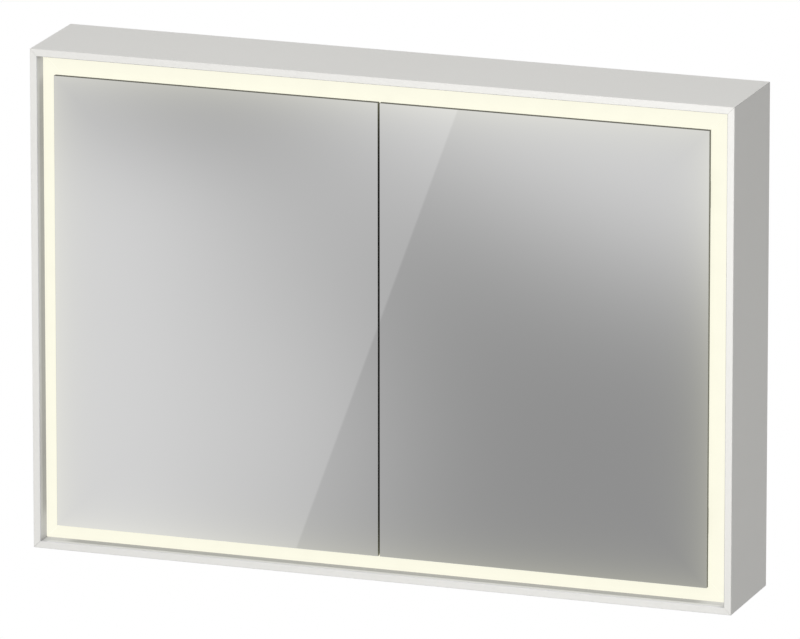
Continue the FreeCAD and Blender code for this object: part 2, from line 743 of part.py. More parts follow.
def make_terminal_block():
    body = new_body("terminal_block")
    half = S.terminal_long / 2
    left, right = -S.terminal_x - half, -S.terminal_x + half
    front = -S.driver_y - S.terminal_wide / 2
    rear = -S.driver_y + S.terminal_wide / 2
    top = CARCASS_Z + S.terminal_high
    solid(body, "case", "Z", CARCASS_Z, top, polygons=[rectangle(left, right, front, rear)])
    level = CARCASS_Z + S.terminal_high / 2
    entries = []
    for step in (-1, 0, 1):
        entries.append(((step * S.terminal_hole_step - S.terminal_x, level), S.terminal_hole_r))
    solid(body, "entries", "Y", rear - S.terminal_hole_in, rear, circles=entries, cut=True)


def make_leads():
    feed = new_body("driver_lead")
    place = (-S.driver_y, CARCASS_Z + S.lead_up)
    start = -S.terminal_x + S.terminal_long / 2
    solid(feed, "lead", "X", start, S.driver_x - S.driver_long / 2, circles=[(place, S.lead_r)])
    supply = new_body("led_lead")
    place = (S.driver_x, HALF_H - LED_MIDDLE)
    start = -S.driver_y - S.driver_wide / 2
    solid(supply, "lead", "Y", LED_SEAT, start, circles=[(place, S.led_lead_r)])


def make_grommet():
    body = new_body("cable_grommet")
    place = grommet_place()
    flange_front = PANEL_IN - S.grommet_flange
    solid(body, "sleeve", "Y", PANEL_IN, 0, circles=[(place, S.grommet_r - S.run_fit)])
    solid(body, "flange", "Y", flange_front, PANEL_IN, circles=[(place, S.grommet_flange_r)])
    solid(body, "bore", "Y", flange_front, 0, circles=[(place, S.grommet_bore_r)], cut=True)


for ring_side in RING:
    make_frame_bar(ring_side)
    make_light_tray(ring_side)
    make_led_strip(ring_side)
    make_diffuser(ring_side)
make_corner_keys()
make_strip_jumpers()
make_back_panel()
make_back_screws("back_screws", back_screw_places(), S.back_thick + S.rib_thick + S.screw_tip)
make_back_screws("carcass_screws", carcass_screw_places(), S.carcass_screw)
make_grommet()
make_carcass_deck("bottom", -1)
make_carcass_deck("top", 1)
make_divider()
make_gap_seal()
make_shelf_pins()
for door_side in SIDES:
    make_carcass_side(door_side)
    make_mirror_back(door_side)
    make_door_pane(f"door_{door_side}_mirror", door_side, FRONT, FRONT + S.mirror_front, True)
    make_door_pane(f"door_{door_side}_inner_mirror", door_side, FRONT + S.mirror_front, DOOR_BACK, False)
    for hinge_end in ENDS:
        make_shelf(door_side, hinge_end)
        make_cabinet_leaf(door_side, hinge_end)
        make_door_leaf(door_side, hinge_end)
make_hinge_pins()
make_hinge_screws()
make_catches()
make_bumpers()
make_driver()
make_terminal_block()
make_leads()
DOC.recompute()

for item in DOC.Objects:
    if "Invalid" in item.State or "Error" in item.State:
        raise RuntimeError(f"{item.Label}: {item.State}")
os.makedirs("parts", exist_ok=True)
for node in NODES:
    if not node.Shape.isValid() or not node.Shape.Solids:
        raise RuntimeError(f"{node.Label}: shape is not a valid solid")
    node.Shape.exportStep(f"parts/{node.Label}.step")
    print(f"{node.Label}: {len(node.Shape.Solids)} solids, {node.Shape.Volume / 1000:.2f} cm3")
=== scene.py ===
import math

import bmesh
import bpy
from bpy.props import FloatProperty, FloatVectorProperty, PointerProperty
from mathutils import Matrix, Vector


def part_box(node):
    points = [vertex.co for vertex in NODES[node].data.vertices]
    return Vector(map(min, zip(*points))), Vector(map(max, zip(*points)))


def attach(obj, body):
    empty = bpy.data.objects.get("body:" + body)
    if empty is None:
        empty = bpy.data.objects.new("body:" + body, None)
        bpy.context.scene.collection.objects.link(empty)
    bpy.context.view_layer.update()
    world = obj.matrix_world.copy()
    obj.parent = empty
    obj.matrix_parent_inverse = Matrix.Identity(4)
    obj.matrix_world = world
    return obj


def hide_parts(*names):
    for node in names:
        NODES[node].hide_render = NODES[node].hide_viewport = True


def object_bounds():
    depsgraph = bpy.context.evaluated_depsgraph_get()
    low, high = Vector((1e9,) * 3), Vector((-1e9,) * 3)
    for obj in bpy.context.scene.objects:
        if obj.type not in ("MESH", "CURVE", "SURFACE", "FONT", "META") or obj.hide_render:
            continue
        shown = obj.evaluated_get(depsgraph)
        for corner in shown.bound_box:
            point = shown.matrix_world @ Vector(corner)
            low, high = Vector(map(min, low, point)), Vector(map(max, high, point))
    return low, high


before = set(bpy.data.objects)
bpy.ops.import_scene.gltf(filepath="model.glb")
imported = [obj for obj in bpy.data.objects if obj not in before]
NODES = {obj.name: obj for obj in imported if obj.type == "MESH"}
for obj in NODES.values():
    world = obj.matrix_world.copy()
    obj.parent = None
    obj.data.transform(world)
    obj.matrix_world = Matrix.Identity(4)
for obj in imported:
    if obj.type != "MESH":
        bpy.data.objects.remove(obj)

bl_info = {
    "name": "Lighted mirror cabinet",
    "version": (1, 0, 0),
    "blender": (4, 5, 0),
    "location": "View3D > Sidebar > Cabinet",
    "description": "Finishes a wall cabinet with mirror doors and a luminous band",
    "category": "Object",
}

CAD_BOX = [list(corner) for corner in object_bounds()]
MM = 0.001
MICRON = 0.001 * MM
FRONT_Y = CAD_BOX[0][1]
HALF_WIDTH, HALF_HEIGHT = CAD_BOX[1][0], CAD_BOX[1][2]
LIP = 10 * MM
RING = ("top", "bottom", "left", "right")
SIDES = ("left", "right")
ENDS = ("lower", "upper")
FORWARD, BACKWARD, UPWARD = Vector((0, -1, 0)), Vector((0, 1, 0)), Vector((0, 0, 1))

# Refractive indices: coats, plastics and rubber, then glass, acrylic and silicone.
RESIN_IOR, GLASS_IOR, ACRYLIC_IOR, SILICONE_IOR = 1.5, 1.52, 1.49, 1.41

# Slow drift of tone in a coat, and of level in the lit strips, as a share.
DRIFT = 0.015

# Places of the materials on a casing bar, and on a door pane.
COAT, WALL, BEVEL, MITRE = range(4)
SILVER, EDGE, SHADED_EDGE, SHADED_MEETING_EDGE = range(4)

# Points round a pin, cup or dome, and round the wider grommet.
ROUND, WIDE_ROUND = 32, 48

# Arm and half width in mm of the cross recess that gives the rings of a screw their angles.
RECESS = (1.9, 0.45)


def linear(code):
    """The linear colour of an sRGB hex value."""
    parts = [int(code[i : i + 2], 16) / 255 for i in (1, 3, 5)]
    return tuple(c / 12.92 if c <= 0.04045 else ((c + 0.055) / 1.055) ** 2.4 for c in parts)


def colour(label, words, code):
    """A colour that the user can change."""
    return FloatVectorProperty(
        name=label, description=words, subtype="COLOR", size=3, min=0, max=1, default=linear(code)
    )


class CabinetFinish(bpy.types.PropertyGroup):
    """Colours and small sizes of the cabinet itself."""

    casing: colour("Casing", "White powder coat of the casing bars", "#E7E6E2")
    trough: colour("Trough wall", "Satin coat of the inner wall beside the light", "#DDDDDF")
    light: colour("Light", "Colour of the lit opal strips", "#F7F5E2")
    edge: colour("Glass edge", "Ground edge of the mirror glass", "#6C6B5E")
    # Painted shade: this darker grey stands for shade on the top edges of the mirror glass and in the
    # gap where the doors meet.
    shaded_edge: colour("Dark edge", "Top and meeting edges of the mirror glass", "#35342E")
    silver: colour("Mirror", "Silver seen through clear float glass", "#F4F6F4")
    board: colour("Boards", "White lacquer of the carcass boards", "#ECECE9")
    light_level: FloatProperty(
        name="Light level", description="Strength of the lit opal strips", default=1.0, min=0, max=5
    )
    # Level of the painted glow: the band's light put along the mirror border as emission in the glass.
    haze: FloatProperty(
        name="Haze",
        description="Light of the band scattered along the mirror border",
        subtype="FACTOR",
        default=0.107,
        min=0,
        max=1,
    )
    arris: FloatProperty(
        name="Arris",
        description="Rounding of the polished glass edges",
        unit="LENGTH",
        default=0.4 * MM,
    )


class CabinetStage(bpy.types.PropertyGroup):
    """Camera, lamps and surroundings."""

    lens: FloatProperty(
        name="Lens", description="Focal length on a 36 mm sensor", unit="CAMERA", default=536.6
    )
    eye: FloatVectorProperty(
        name="Eye",
        description="Place of the camera",
        subtype="XYZ",
        unit="LENGTH",
        default=(5.1923, -14.7510, 4.1185),
    )
    turn: FloatProperty(
        name="Turn",
        description="How far the camera looks to the left",
        subtype="ANGLE",
        default=math.radians(19.475),
    )
    tilt: FloatProperty(
        name="Tilt",
        description="How far the camera looks down",
        subtype="ANGLE",
        default=math.radians(14.832),
    )
    floor_drop: FloatProperty(
        name="Floor", description="Middle of the cabinet to the floor", unit="LENGTH", default=1.55
    )
    ambient: FloatProperty(
        name="Ambient", description="Level of the surrounding light", default=0.465, min=0
    )
    key: FloatProperty(
        name="Key", description="Power of the large front lamp", unit="POWER", default=202, min=0
    )
    fill: FloatProperty(
        name="Fill",
        description="Power of the small lamp by the upper right corner",
        unit="POWER",
        default=3.5,
        min=0,
    )
    back: FloatProperty(
        name="Back", description="Power of the lamp behind the cabinet", unit="POWER", default=6, min=0
    )


def add(tree, kind, inputs=None, **settings):
    """Add a node with its settings, and set or link its inputs.

    A node given as an input stands for its first output.
    """
    made = tree.nodes.new(kind)
    for name, value in settings.items():
        setattr(made, name, value)
    for key, value in (inputs or {}).items():
        if isinstance(key, int):
            found = made.inputs[key]
        else:
            found = next(s for s in made.inputs if s.enabled and s.name == key)
        if isinstance(value, bpy.types.Node):
            value = next(s for s in value.outputs if s.enabled)
        if isinstance(value, bpy.types.NodeSocket):
            tree.links.new(value, found)
        else:
            found.default_value = (*value[:3], 1) if found.type == "RGBA" else value
    return made


def new_material(name):
    """A node material of this name that has no nodes yet."""
    material = bpy.data.materials.get(name) or bpy.data.materials.new(name)
    material.use_nodes = True
    material.node_tree.nodes.clear()
    return material, material.node_tree


def per_mm(size_mm):
    """Texture scale that gives features of this size, as coordinates are in metres."""
    return 1.0 / (size_mm * MM)


def toned(paint, level):
    """A linear colour made darker or lighter."""
    return [c * level for c in paint]


def tones(paint, spread):
    """The two ends of a mix, a little darker and a little lighter than a linear colour."""
    return {"A": toned(paint, 1 - spread), "B": toned(paint, 1 + spread)}


def edge_distance(tree, where, corner, pick):
    """Distance in from the edges of a rectangle about the origin, given its upper right corner.

    MINIMUM picks the nearer of the upright and the level edge, and MAXIMUM the farther.
    """
    mirrored = add(tree, "ShaderNodeVectorMath", {0: where}, operation="ABSOLUTE")
    inset = add(tree, "ShaderNodeVectorMath", {0: corner, 1: mirrored}, operation="SUBTRACT")
    parts = add(tree, "ShaderNodeSeparateXYZ", {"Vector": inset}).outputs
    return add(tree, "ShaderNodeMath", {0: parts["X"], 1: parts["Z"]}, operation=pick)


def powder_coat(name, paint_colour, cut=False):
    """Powder coat on aluminium: matt white with a faint orange peel and a slow drift of tone."""
    material, tree = new_material(name)
    where = add(tree, "ShaderNodeTexCoord").outputs["Object"]
    # The real peel is about 0.8 mm across. It is drawn at 3 mm, so that it shows at all.
    peel = add(tree, "ShaderNodeTexNoise", {"Vector": where, "Scale": per_mm(3), "Detail": 2.0})
    bump = add(tree, "ShaderNodeBump", {"Height": peel, "Strength": 0.06, "Distance": 0.2 * MM})
    drift = add(tree, "ShaderNodeTexNoise", {"Vector": where, "Scale": per_mm(260), "Detail": 1.0})
    paint = add(
        tree, "ShaderNodeMix", {"Factor": drift, **tones(paint_colour, DRIFT)}, data_type="RGBA"
    )
    if cut:
        # On a mitre cut the coat wraps 0.5 mm round the front edge. Further in is dark sealer.
        wrapped = FRONT_Y + 0.5 * MM
        depth = add(tree, "ShaderNodeSeparateXYZ", {"Vector": where}).outputs["Y"]
        sealed = add(tree, "ShaderNodeMath", {0: depth, 1: wrapped}, operation="GREATER_THAN")
        paint = add(
            tree,
            "ShaderNodeMix",
            {"Factor": sealed, "A": paint, "B": linear("#383735")},
            data_type="RGBA",
        )
    coat = add(
        tree,
        "ShaderNodeBsdfPrincipled",
        {"Base Color": paint, "Roughness": 0.5, "IOR": RESIN_IOR, "Normal": bump},
    )
    add(tree, "ShaderNodeOutputMaterial", {"Surface": coat})
    return material


def painted_shade_trough_coat(finish, name, lit, shaded_to, end_shade):
    """Satin coat on a trough wall with painted shade: light by the lip, painted darker further in, less
    so near its ends.
    """
    material, tree = new_material(name)
    where = add(tree, "ShaderNodeTexCoord").outputs["Object"]
    depth = add(tree, "ShaderNodeSeparateXYZ", {"Vector": where}).outputs["Y"]
    # The painted shade comes in from 6.5 to 12 mm behind the front.
    shaded = add(
        tree,
        "ShaderNodeMapRange",
        {"Value": depth, "From Min": FRONT_Y + 6.5 * MM, "From Max": FRONT_Y + 12 * MM},
        interpolation_type="SMOOTHSTEP",
    )
    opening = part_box("frame_top")[1] - Vector((LIP, 0, LIP))
    run = edge_distance(tree, where, opening, "MAXIMUM")
    # The painted shade fades from 50 to 25 mm before a corner, where no door stands opposite.
    opposite = add(
        tree,
        "ShaderNodeMapRange",
        {"Value": run, "From Min": 25 * MM, "From Max": 50 * MM, "To Min": end_shade},
        interpolation_type="SMOOTHSTEP",
    )
    beside = add(tree, "ShaderNodeMath", {0: shaded, 1: opposite}, operation="MULTIPLY")
    # In the corner itself, over 10 mm, painted shade stands for the two walls shading each other.
    corner = add(
        tree,
        "ShaderNodeMapRange",
        {"Value": run, "From Min": 0, "From Max": 10 * MM, "To Min": 0.7, "To Max": 0},
    )
    shade = add(tree, "ShaderNodeMath", {0: beside, 1: corner}, operation="MAXIMUM")
    paint = add(
        tree,
        "ShaderNodeMix",
        {"Factor": shade, "A": toned(finish.trough, lit), "B": toned(finish.trough, shaded_to)},
        data_type="RGBA",
    )
    coat = add(
        tree, "ShaderNodeBsdfPrincipled", {"Base Color": paint, "Roughness": 0.55, "IOR": RESIN_IOR}
    )
    add(tree, "ShaderNodeOutputMaterial", {"Surface": coat})
    return material


def opal_acrylic(finish):
    """Opal acrylic lit from behind: even cream light, with a faint cloud about 25 mm across."""
    material, tree = new_material("opal_acrylic_lit")
    where = add(tree, "ShaderNodeTexCoord").outputs["Object"]
    cloud = add(tree, "ShaderNodeTexNoise", {"Vector": where, "Scale": per_mm(25), "Detail": 0.0})
    low, high = (1 - DRIFT) * finish.light_level, (1 + DRIFT) * finish.light_level
    level = add(tree, "ShaderNodeMapRange", {"Value": cloud, "To Min": low, "To Max": high})
    opal = add(
        tree,
        "ShaderNodeBsdfPrincipled",
        {
            "Base Color": linear("#3F3F3C"),
            "Roughness": 0.35,
            "IOR": ACRYLIC_IOR,
            "Emission Color": finish.light,
            "Emission Strength": level,
        },
    )
    add(tree, "ShaderNodeOutputMaterial", {"Surface": opal})
    return material


def painted_band_glow(tree, where, finish, border):
    """Painted glow: warm light of the band along the border of the doors, as emission settings of a
    shader.
    """
    near = edge_distance(tree, where, border, "MINIMUM")
    # The painted glow falls to about a third within 27 mm.
    fall = add(tree, "ShaderNodeMath", {0: near, 1: -27 * MM}, operation="DIVIDE")
    share = add(tree, "ShaderNodeMath", {0: math.e, 1: fall}, operation="POWER")
    level = add(tree, "ShaderNodeMath", {0: share, 1: finish.haze}, operation="MULTIPLY")
    return {"Emission Color": linear("#FFFDD0"), "Emission Strength": level}


def silvered_glass(finish, name, border=None):
    """Silvered float glass: a clean mirror, with a painted warm glow of the band's light along a
    border.
    """
    material, tree = new_material(name)
    where = add(tree, "ShaderNodeTexCoord").outputs["Object"]
    # Float glass waves by a fraction of a micron over about 200 mm.
    wave = add(tree, "ShaderNodeTexNoise", {"Vector": where, "Scale": per_mm(200), "Detail": 0.0})
    bump = add(tree, "ShaderNodeBump", {"Height": wave, "Strength": 0.02, "Distance": 0.05 * MM})
    looks = {"Base Color": finish.silver, "Metallic": 1.0, "Roughness": 0.0, "Normal": bump}
    if border:
        looks.update(painted_band_glow(tree, where, finish, border))
    mirror = add(tree, "ShaderNodeBsdfPrincipled", looks)
    add(tree, "ShaderNodeOutputMaterial", {"Surface": mirror})
    return material


def ground_edge(finish, name, paint_colour, border=None):
    """Ground glass edge: dull olive grey with fine marks, or a darker grey as painted shade, and a
    painted glow of the band's light near a border.
    """
    material, tree = new_material(name)
    where = add(tree, "ShaderNodeTexCoord").outputs["Object"]
    # Grinding leaves marks of about 0.1 mm. They are drawn at 1.5 mm, so that they show.
    marks = add(tree, "ShaderNodeTexNoise", {"Vector": where, "Scale": per_mm(1.5), "Detail": 3.0})
    paint = add(
        tree, "ShaderNodeMix", {"Factor": marks, **tones(paint_colour, 0.15)}, data_type="RGBA"
    )
    looks = {"Base Color": paint, "Roughness": 0.45, "IOR": GLASS_IOR}
    if border:
        looks.update(painted_band_glow(tree, where, finish, border))
    rim = add(tree, "ShaderNodeBsdfPrincipled", looks)
    add(tree, "ShaderNodeOutputMaterial", {"Surface": rim})
    return material


def clear_glass():
    """Clear float glass: nearly colourless face on, with faint wipe marks in its gloss."""
    material, tree = new_material("clear_float_glass")
    where = add(tree, "ShaderNodeTexCoord").outputs["Object"]
    wipe = add(tree, "ShaderNodeTexNoise", {"Vector": where, "Scale": per_mm(60), "Detail": 2.0})
    gloss = add(tree, "ShaderNodeMapRange", {"Value": wipe, "To Min": 0.0, "To Max": 0.03})
    glass = add(
        tree,
        "ShaderNodeBsdfPrincipled",
        {
            "Base Color": linear("#F1F9F5"),
            "Roughness": gloss,
            "IOR": GLASS_IOR,
            "Transmission Weight": 1.0,
        },
    )
    add(tree, "ShaderNodeOutputMaterial", {"Surface": glass})
    return material


def green_edge():
    """Polished edge of float glass: the green that gathers along the length of the sheet."""
    material, tree = new_material("polished_float_glass_edge")
    where = add(tree, "ShaderNodeTexCoord").outputs["Object"]
    streak = add(tree, "ShaderNodeTexNoise", {"Vector": where, "Scale": per_mm(45), "Detail": 1.0})
    tint = add(
        tree,
        "ShaderNodeMix",
        {"Factor": streak, "A": linear("#6F9C8A"), "B": linear("#A9CDBE")},
        data_type="RGBA",
    )
    rim = add(
        tree,
        "ShaderNodeBsdfPrincipled",
        {"Base Color": tint, "Roughness": 0.08, "IOR": GLASS_IOR, "Transmission Weight": 0.25},
    )
    add(tree, "ShaderNodeOutputMaterial", {"Surface": rim})
    return material


def lacquer(finish):
    """Sprayed lacquer on fibreboard: smooth silk white with a faint texture in its gloss."""
    material, tree = new_material("silk_lacquered_fibreboard")
    where = add(tree, "ShaderNodeTexCoord").outputs["Object"]
    # The texture is about 1 mm across and is drawn at 4 mm, so that it shows.
    grain = add(tree, "ShaderNodeTexNoise", {"Vector": where, "Scale": per_mm(4), "Detail": 3.0})
    bump = add(tree, "ShaderNodeBump", {"Height": grain, "Strength": 0.05, "Distance": 0.1 * MM})
    gloss = add(tree, "ShaderNodeMapRange", {"Value": grain, "To Min": 0.34, "To Max": 0.46})
    drift = add(tree, "ShaderNodeTexNoise", {"Vector": where, "Scale": per_mm(180), "Detail": 1.0})
    paint = add(
        tree, "ShaderNodeMix", {"Factor": drift, **tones(finish.board, DRIFT)}, data_type="RGBA"
    )
    coat = add(
        tree,
        "ShaderNodeBsdfPrincipled",
        {"Base Color": paint, "Roughness": gloss, "IOR": RESIN_IOR, "Normal": bump},
    )
    add(tree, "ShaderNodeOutputMaterial", {"Surface": coat})
    return material


def metal(name, code, rough, grain_mm):
    """A plated or drawn metal: its own grey, with a fine grain in tone and gloss."""
    material, tree = new_material(name)
    where = add(tree, "ShaderNodeTexCoord").outputs["Object"]
    # The real grain is well under 0.1 mm. It is drawn about ten times as coarse, so that it shows.
    grain = add(
        tree, "ShaderNodeTexNoise", {"Vector": where, "Scale": per_mm(grain_mm), "Detail": 3.0}
    )
    gloss = add(
        tree, "ShaderNodeMapRange", {"Value": grain, "To Min": rough * 0.7, "To Max": rough * 1.3}
    )
    tone = add(
        tree, "ShaderNodeMix", {"Factor": grain, **tones(linear(code), 0.08)}, data_type="RGBA"
    )
    plate = add(
        tree, "ShaderNodeBsdfPrincipled", {"Base Color": tone, "Metallic": 1.0, "Roughness": gloss}
    )
    add(tree, "ShaderNodeOutputMaterial", {"Surface": plate})
    return material


def moulded(name, code, rough, grain_mm, ior=RESIN_IOR):
    """A moulded or coated surface: even colour with a fine grain."""
    material, tree = new_material(name)
    where = add(tree, "ShaderNodeTexCoord").outputs["Object"]
    # The real grain is about 0.2 mm. It is drawn five to ten times as coarse, so that it shows.
    grain = add(
        tree, "ShaderNodeTexNoise", {"Vector": where, "Scale": per_mm(grain_mm), "Detail": 2.0}
    )
    bump = add(tree, "ShaderNodeBump", {"Height": grain, "Strength": 0.15, "Distance": 0.1 * MM})
    tone = add(
        tree, "ShaderNodeMix", {"Factor": grain, **tones(linear(code), 0.06)}, data_type="RGBA"
    )
    body = add(
        tree,
        "ShaderNodeBsdfPrincipled",
        {"Base Color": tone, "Roughness": rough, "IOR": ior, "Normal": bump},
    )
    add(tree, "ShaderNodeOutputMaterial", {"Surface": body})
    return material


def zinc_plate():
    """Zinc plate on steel: cool grey with a soft gloss."""
    return metal("zinc_plated_steel", "#B4B6B9", rough=0.35, grain_mm=1.0)


def dress(name, *materials, choose=None):
    """Give a CAD node its materials, one per face where choose says which."""
    mesh = NODES[name].data
    mesh.materials.clear()
    for material in materials:
        mesh.materials.append(material)
    for face in mesh.polygons:
        face.material_index = int(choose(face)) if choose else 0


def keep_mesh(shape, name, materials, body, node, turned=True):
    """Turn a bmesh into a piece that rides on a body and stands for a CAD node.

    Turned ones get smooth rounds.
    """
    bmesh.ops.recalc_face_normals(shape, faces=list(shape.faces))
    mesh = bpy.data.meshes.new(name)
    shape.to_mesh(mesh)
    shape.free()
    if turned:
        mesh.shade_smooth()
        mesh.set_sharp_from_angle(angle=math.radians(30))
    for material in materials:
        mesh.materials.append(material)
    piece = bpy.data.objects.new(name, mesh)
    bpy.context.scene.collection.objects.link(piece)
    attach(piece, body)
    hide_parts(node)


def glass_pane(name, node, materials, body, arris, choose):
    """A pane of the node's size with rounded arrises. Choose gives the material for each face."""
    low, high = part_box(node)
    shape = bmesh.new()
    bmesh.ops.create_cube(shape, size=1.0)
    for vertex in shape.verts:
        vertex.co = Vector(h if c > 0 else l for c, l, h in zip(vertex.co, low, high))
    bmesh.ops.bevel(
        shape, geom=list(shape.edges), offset=arris, segments=3, profile=0.5, affect="EDGES"
    )
    bmesh.ops.recalc_face_normals(shape, faces=list(shape.faces))
    for face in shape.faces:
        face.material_index = choose(face.normal, face.calc_center_median())
    keep_mesh(shape, name, materials, body, node, turned=False)


def solids(node):
    """Boxes of the separate solids in a CAD node, in a fixed order."""
    shape = bmesh.new()
    shape.from_mesh(NODES[node].data)
    bmesh.ops.remove_doubles(shape, verts=list(shape.verts), dist=MICRON)
    left, boxes = set(shape.verts), []
    while left:
        front = [left.pop()]
        found = list(front)
        while front:
            vertex = front.pop()
            near = {link.other_vert(vertex) for link in vertex.link_edges} & left
            left -= near
            front.extend(near)
            found.extend(near)
        low = [min(vertex.co[i] for vertex in found) for i in range(3)]
        high = [max(vertex.co[i] for vertex in found) for i in range(3)]
        boxes.append((low, high))
    shape.free()
    return [(Vector(low), Vector(high)) for low, high in sorted(boxes)]


def cross(arm, half):
    """Outline of a cross recess in mm: 24 points, six for each arm."""
    slope = (arm + half) / 2
    quarter = ((arm, -half), (arm, 0), (arm, half), (slope, half), (half, half), (half, slope))
    turns = ((1, 0), (0, 1), (-1, 0), (0, -1))
    return [(c * x - s * y, s * x + c * y) for c, s in turns for x, y in quarter]


def circle(radius, points=None):
    """A circle in mm.

    With no count, its points lie at the angles of a cross recess, so that the two can be joined.
    """
    if points:
        angles = [2 * math.pi * i / points for i in range(points)]
    else:
        angles = [math.atan2(y, x) for x, y in cross(*RECESS)]
    return [(radius * math.cos(a), radius * math.sin(a)) for a in angles]


def loft(shape, top, axis, rings, closed=False):
    """Join rings of points, each at its height in mm along the axis from the top, into a solid."""
    turn = UPWARD.rotation_difference(axis)
    loops = []
    for height, ring in rings:
        places = [top + turn @ (Vector((x, y, height)) * MM) for x, y in ring]
        loops.append([shape.verts.new(place) for place in places])
    for one, two in zip(loops, loops[1:] + loops[:1] if closed else loops[1:]):
        for i in range(len(one)):
            shape.faces.new((one[i - 1], one[i], two[i], two[i - 1]))
    if not closed:
        shape.faces.new(loops[0])
        shape.faces.new(loops[-1])


def turned_parts(name, node, axis, rings, material, closed=False):
    """One turned part for each solid of the node, its top at that solid's end along the axis.

    With no axis, each part points sideways, away from the middle of the cabinet.
    """
    shape = bmesh.new()
    for low, high in solids(node):
        middle = (low + high) / 2
        way = axis or Vector((math.copysign(1, middle.x), 0, 0))
        # A micron short of the solid's end, so that rounding can't carry it past the CAD box.
        top = middle + way * (abs((high - low).dot(way)) / 2 - MICRON)
        loft(shape, top, way, rings, closed)
    keep_mesh(shape, name, (material,), "cabinet", node)


class CABINET_OT_stage(bpy.types.Operator):
    """Camera, floor, surroundings and lamps"""

    bl_idname = "cabinet.stage"
    bl_label = "Stage"

    def execute(self, context):
        scene = context.scene
        self.make_camera(scene, scene.cabinet_stage)
        self.make_world(scene, scene.cabinet_stage)
        self.make_floor(scene, scene.cabinet_stage)
        self.make_reflected_wall(scene, scene.cabinet_stage)
        self.make_lamps(scene, scene.cabinet_stage)
        scene.view_settings.view_transform = "Standard"
        return {"FINISHED"}

    def make_camera(self, scene, stage):
        """A long lens that looks down at the cabinet from the right."""
        lens = bpy.data.cameras.new("camera")
        lens.lens = stage.lens
        lens.sensor_width = 36
        lens.clip_start = 0.5
        lens.clip_end = 200
        camera = bpy.data.objects.new("camera", lens)
        camera.location = stage.eye
        camera.rotation_euler = (math.pi / 2 - stage.tilt, 0, stage.turn)
        scene.collection.objects.link(camera)
        scene.camera = camera

    def make_world(self, scene, stage):
        """White where it is seen, also in metal and through glass, and a grey light on the cabinet."""
        world = bpy.data.worlds.new("studio")
        world.use_nodes = True
        tree = world.node_tree
        tree.nodes.clear()
        way = add(tree, "ShaderNodeTexCoord").outputs["Generated"]
        height = add(tree, "ShaderNodeSeparateXYZ", {"Vector": way}).outputs["Z"]
        # The light is a little stronger from below than from above.
        level = add(
            tree,
            "ShaderNodeMapRange",
            {
                "Value": height,
                "From Min": -0.2,
                "From Max": 1.0,
                "To Min": 1.1 * stage.ambient,
                "To Max": 0.9 * stage.ambient,
            },
        )
        around = add(tree, "ShaderNodeBackground", {"Color": (1, 1, 1), "Strength": level})
        white = add(tree, "ShaderNodeBackground", {"Color": (1, 1, 1), "Strength": 1.0})
        ray = add(tree, "ShaderNodeLightPath").outputs
        clear = {0: ray["Is Camera Ray"], 1: ray["Is Transmission Ray"]}
        seen = add(tree, "ShaderNodeMath", clear, operation="MAXIMUM")
        shown = add(tree, "ShaderNodeMath", {0: seen, 1: ray["Is Glossy Ray"]}, operation="MAXIMUM")
        mix = add(tree, "ShaderNodeMixShader", {0: shown, 1: around, 2: white})
        add(tree, "ShaderNodeOutputWorld", {"Surface": mix})
        scene.world = world

    def keep_stage(self, scene, name, corners, material):
        """A flat stage piece with these corners."""
        mesh = bpy.data.meshes.new(name)
        mesh.from_pydata(corners, [], [range(len(corners))])
        mesh.materials.append(material)
        piece = bpy.data.objects.new(name, mesh)
        scene.collection.objects.link(piece)
        return piece

    def make_floor(self, scene, stage):
        """A pale floor that lights the cabinet from below.

        The camera looks past it to the white surroundings.
        """
        material, tree = new_material("pale_studio_floor")
        where = add(tree, "ShaderNodeTexCoord").outputs["Object"]
        speck = add(tree, "ShaderNodeTexNoise", {"Vector": where, "Scale": per_mm(40), "Detail": 2.0})
        tone = add(tree, "ShaderNodeMapRange", {"Value": speck, "To Min": 0.74, "To Max": 0.8})
        matt = add(tree, "ShaderNodeBsdfDiffuse", {"Color": tone})
        add(tree, "ShaderNodeOutputMaterial", {"Surface": matt})
        # It reaches 60 m to each side.
        reach = 60
        square = ((-reach, -reach), (reach, -reach), (reach, reach), (-reach, reach))
        corners = [(x, y, -stage.floor_drop) for x, y in square]
        self.keep_stage(scene, "floor", corners, material).visible_camera = False

    def wall_light(self, silver):
        """Studio wall that glows grey: painted pools of light and a painted dim patch, and a lighter
        panel beside a slanted edge.
        """
        material, tree = new_material("painted_light_studio_wall")
        where = add(tree, "ShaderNodeTexCoord").outputs["Object"]
        glow = 0.273
        # Four painted pools of light and a painted dim patch: strength, then middle and half widths in
        # mm, across and up.
        for strength, (x, z), (wide, high) in (
            (0.295, (-415, -150), (270, 1500)),
            (0.26, (485, 230), (345, 175)),
            (0.51, (-200, 355), (530, 155)),
            (-0.6, (-295, 330), (315, 135)),
            (0.105, (-95, -145), (180, 260)),
        ):
            middle, scale = (x * MM, 0, z * MM), (per_mm(wide), 0, per_mm(high))
            shift = add(tree, "ShaderNodeVectorMath", {0: where, 1: middle}, operation="SUBTRACT")
            even = add(tree, "ShaderNodeVectorMath", {0: shift, 1: scale}, operation="MULTIPLY")
            square = add(tree, "ShaderNodeVectorMath", {0: even, 1: even}, operation="DOT_PRODUCT")
            fall = add(tree, "ShaderNodeMath", {0: square, 1: -1.0}, operation="MULTIPLY")
            bell = add(tree, "ShaderNodeMath", {0: math.e, 1: fall}, operation="POWER")
            glow = add(
                tree, "ShaderNodeMath", {0: bell, 1: strength, 2: glow}, operation="MULTIPLY_ADD"
            )
        # The panel lies to the left of an edge that leans by 20.1 degrees.
        lean = math.radians(-20.1)
        edge_way = (math.cos(lean), 0, math.sin(lean))
        across = add(tree, "ShaderNodeVectorMath", {0: where, 1: edge_way}, operation="DOT_PRODUCT")
        panel = add(
            tree,
            "ShaderNodeMapRange",
            {
                "Value": across,
                "From Min": -5 * MM,
                "From Max": -1 * MM,
                "To Min": 0.071,
                "To Max": 0.0,
            },
            interpolation_type="SMOOTHSTEP",
        )
        level = add(tree, "ShaderNodeMath", {0: glow, 1: panel}, operation="ADD")
